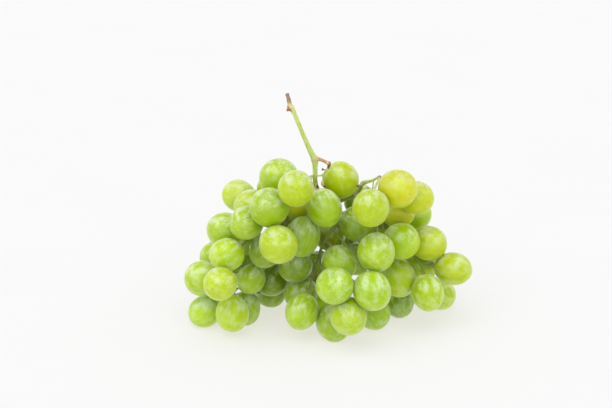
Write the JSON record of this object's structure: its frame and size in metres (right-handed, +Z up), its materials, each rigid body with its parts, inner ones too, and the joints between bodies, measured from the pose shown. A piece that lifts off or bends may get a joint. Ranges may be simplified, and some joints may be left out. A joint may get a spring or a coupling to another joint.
{
  "type": "bunch of grapes",
  "caption": "Bunch of round green table grapes on one thin branching stem, lying on a surface as picked, with its stalk standing up.",
  "frame": {"origin": "middle of the bounding box's bottom face, on the surface that the bunch lies on", "axes": "+X along the bunch's width, to the right as seen from the front; +Y from the front to the back, its shortest extent; +Z up, the way the stalk stands"},
  "size_m": [0.1756, 0.0954, 0.1483],
  "materials": {
    "berry_skin": "translucent yellow-green skin with a thin whitish bloom, satin",
    "stem_bark": "green stem, browner towards the cut end and at the knobs, matte"
  },
  "bodies": {
    "root": {"back_berry_1": "berry_skin", "back_berry_2": "berry_skin", "back_berry_3": "berry_skin", "back_berry_4": "berry_skin", "back_berry_5": "berry_skin", "crown_berry_1": "berry_skin", "crown_berry_2": "berry_skin", "crown_berry_3": "berry_skin", "crown_berry_4": "berry_skin", "crown_berry_5": "berry_skin", "crown_berry_6": "berry_skin", "crown_berry_7": "berry_skin", "front_berry_1": "berry_skin", "front_berry_2": "berry_skin", "front_berry_3": "berry_skin", "front_berry_4": "berry_skin", "front_berry_5": "berry_skin", "front_berry_6": "berry_skin", "front_berry_7": "berry_skin", "front_berry_8": "berry_skin", "heart_berry_1": "berry_skin", "heart_berry_10": "berry_skin", "heart_berry_11": "berry_skin", "heart_berry_2": "berry_skin", "heart_berry_3": "berry_skin", "heart_berry_4": "berry_skin", "heart_berry_5": "berry_skin", "heart_berry_6": "berry_skin", "heart_berry_7": "berry_skin", "heart_berry_8": "berry_skin", "heart_berry_9": "berry_skin", "left_shoulder_berry_1": "berry_skin", "left_shoulder_berry_2": "berry_skin", "left_shoulder_berry_3": "berry_skin", "left_shoulder_berry_4": "berry_skin", "left_shoulder_berry_5": "berry_skin", "left_wing_berry_1": "berry_skin", "left_wing_berry_2": "berry_skin", "left_wing_berry_3": "berry_skin", "left_wing_berry_4": "berry_skin", "left_wing_berry_5": "berry_skin", "left_wing_berry_6": "berry_skin", "left_wing_berry_7": "berry_skin", "left_wing_berry_8": "berry_skin", "left_wing_berry_9": "berry_skin", "right_shoulder_berry_1": "berry_skin", "right_shoulder_berry_2": "berry_skin", "right_shoulder_berry_3": "berry_skin", "right_shoulder_berry_4": "berry_skin", "right_shoulder_berry_5": "berry_skin", "right_shoulder_berry_6": "berry_skin", "right_shoulder_berry_7": "berry_skin", "right_shoulder_berry_8": "berry_skin", "right_wing_berry_1": "berry_skin", "right_wing_berry_2": "berry_skin", "right_wing_berry_3": "berry_skin", "right_wing_berry_4": "berry_skin", "right_wing_berry_5": "berry_skin", "right_wing_berry_6": "berry_skin", "stem": "stem_bark"}
  },
  "joints": []
}
